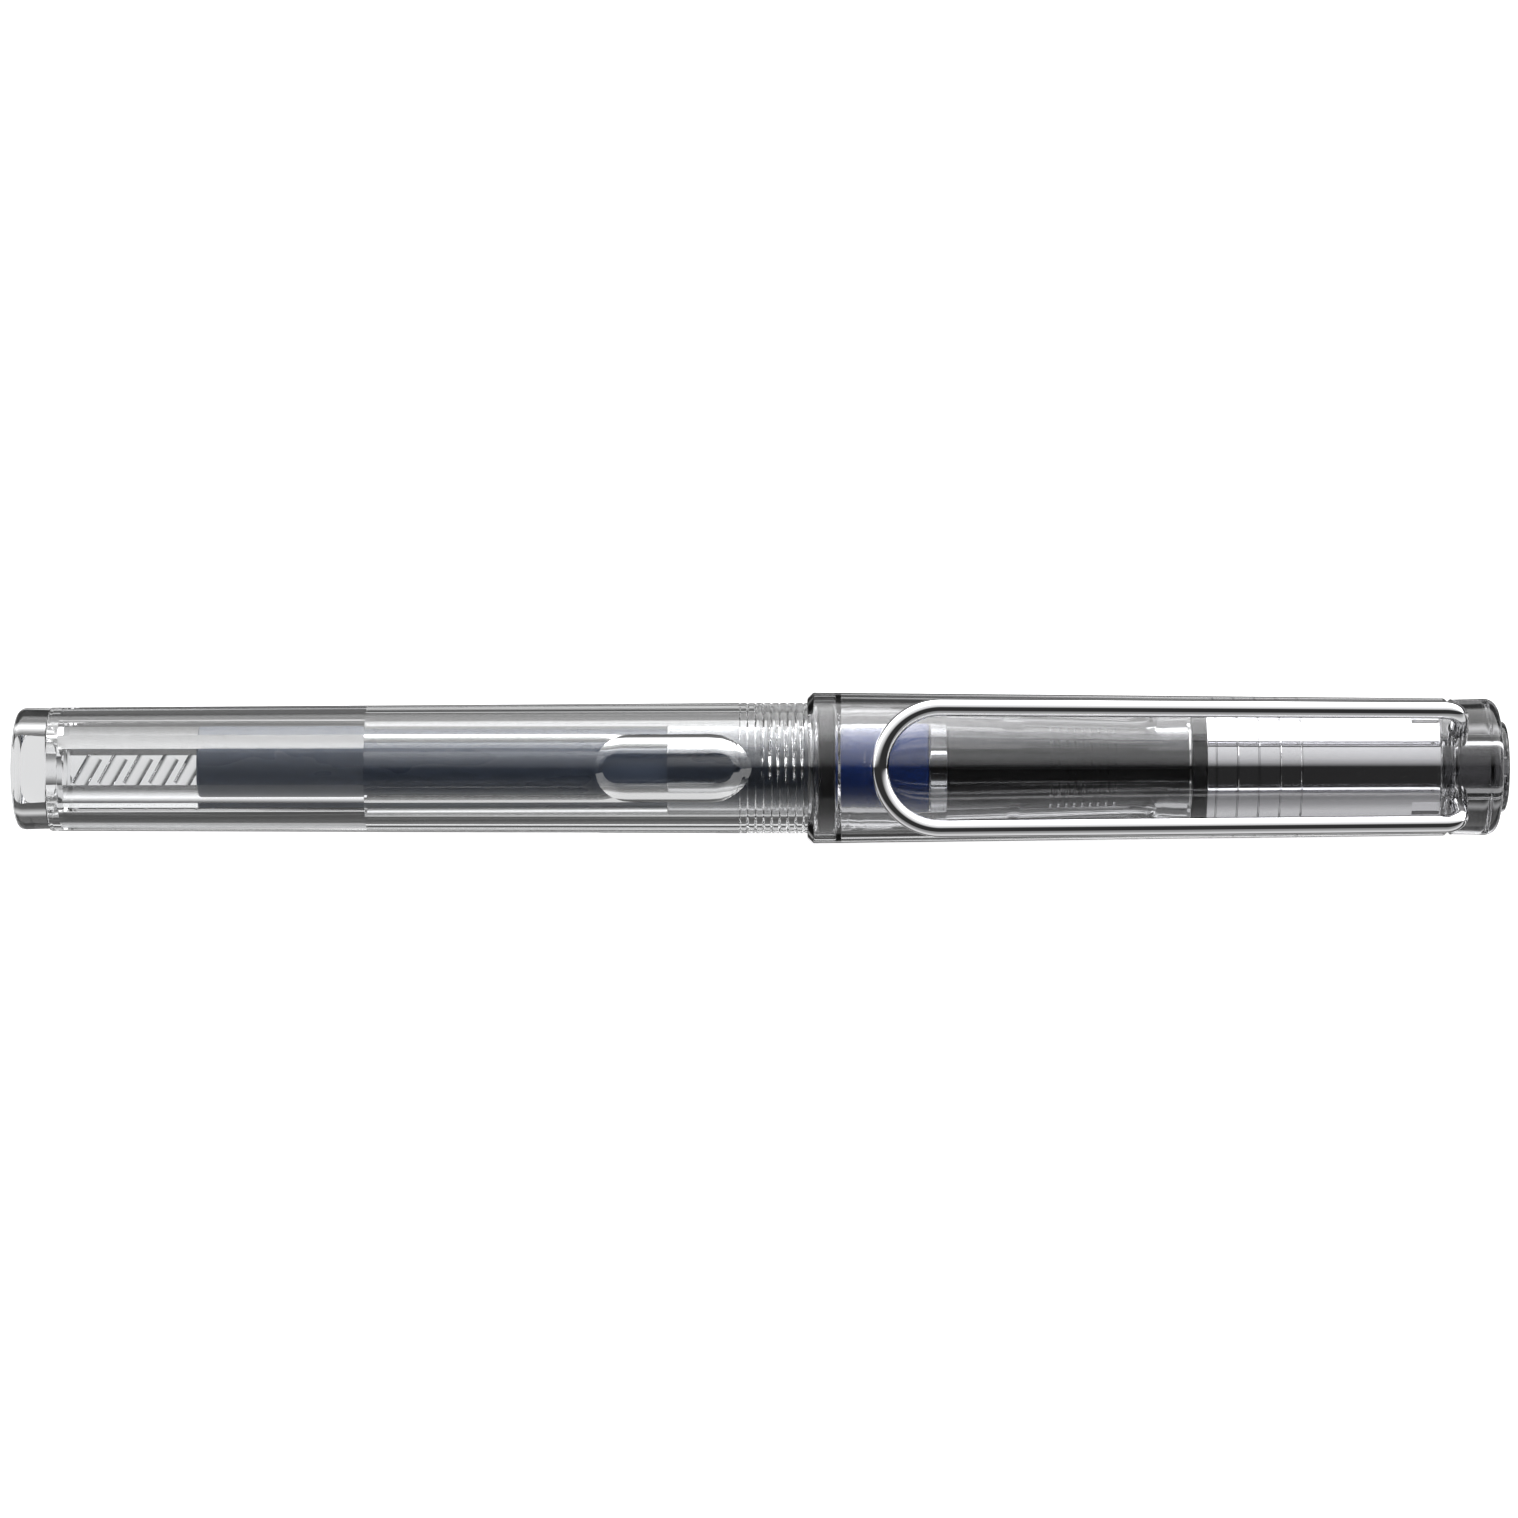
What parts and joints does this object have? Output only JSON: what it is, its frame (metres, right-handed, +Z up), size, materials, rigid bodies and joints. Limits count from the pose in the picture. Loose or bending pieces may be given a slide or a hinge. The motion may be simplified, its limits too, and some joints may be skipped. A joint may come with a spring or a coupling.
{
  "type": "fountain pen",
  "caption": "Clear cartridge fountain pen with a smoky clip-on cap, round wire pocket clip, ink windows, threaded grip section and sealed inner cap.",
  "frame": {"origin": "under the middle of the pen's length, level with the lowest point of the cap's lip", "axes": "+X along the pen from the tail to the cap's end, +Z up through the pocket clip and the front ink window, +Y across"},
  "size_m": [0.139, 0.014, 0.0163],
  "materials": {
    "clear_plastic": "water-clear moulded plastic",
    "smoke_plastic": "smoke-grey clear moulded plastic",
    "chrome": "mirror-bright plating",
    "polished_steel": "polished steel",
    "black_plastic": "satin black moulded plastic",
    "seal_rubber": "smooth black seal",
    "cartridge_plastic": "thin milky plastic",
    "blue_ink": "blue liquid, drawn as a solid"
  },
  "bodies": {
    "barrel": {"barrel": "clear_plastic", "barrel_end_plug": "clear_plastic"},
    "seal": {"barrel_seal_ring": "seal_rubber"},
    "section": {"grip_section": "clear_plastic", "feed_collar": "clear_plastic", "feed_nipple": "black_plastic", "feed": "black_plastic", "nib": "polished_steel", "nib_tipping": "polished_steel"},
    "cartridge": {"cartridge_shell": "cartridge_plastic", "cartridge_seal_ball": "black_plastic", "ink_charge": "blue_ink"},
    "cap": {"cap_shell": "smoke_plastic", "inner_cap": "chrome", "inner_cap_seal": "seal_rubber", "finial": "smoke_plastic", "finial_plug": "smoke_plastic"},
    "clip": {"clip_wire": "chrome"}
  },
  "joints": [
    {"name": "section_advance", "type": "slide", "parent": "barrel", "child": "seal", "axis": [1, 0, 0], "range_m": [0, 0.00445]},
    {"name": "section_unscrew", "type": "hinge", "parent": "seal", "child": "section", "pos_m": [0.00702, 0, 0.00704], "axis": [1, 0, 0], "range_deg": [0, 2160]},
    {"name": "cartridge_pull", "type": "slide", "parent": "section", "child": "cartridge", "axis": [-1, 0, 0], "range_m": [0, 0.012]},
    {"name": "cap_pull", "type": "slide", "parent": "section", "child": "cap", "axis": [1, 0, 0], "range_m": [0, 0.06]},
    {"name": "clip_flex", "type": "hinge", "parent": "cap", "child": "clip", "pos_m": [0.06448, 0, 0.0115], "axis": [0, 1, 0], "range_deg": [0, 3.5], "stiffness_Nm_per_rad": 1}
  ],
  "couplings": [
    {"joint": "section_advance", "follows": "section_unscrew", "m_per_rad": 0.00011809}
  ]
}
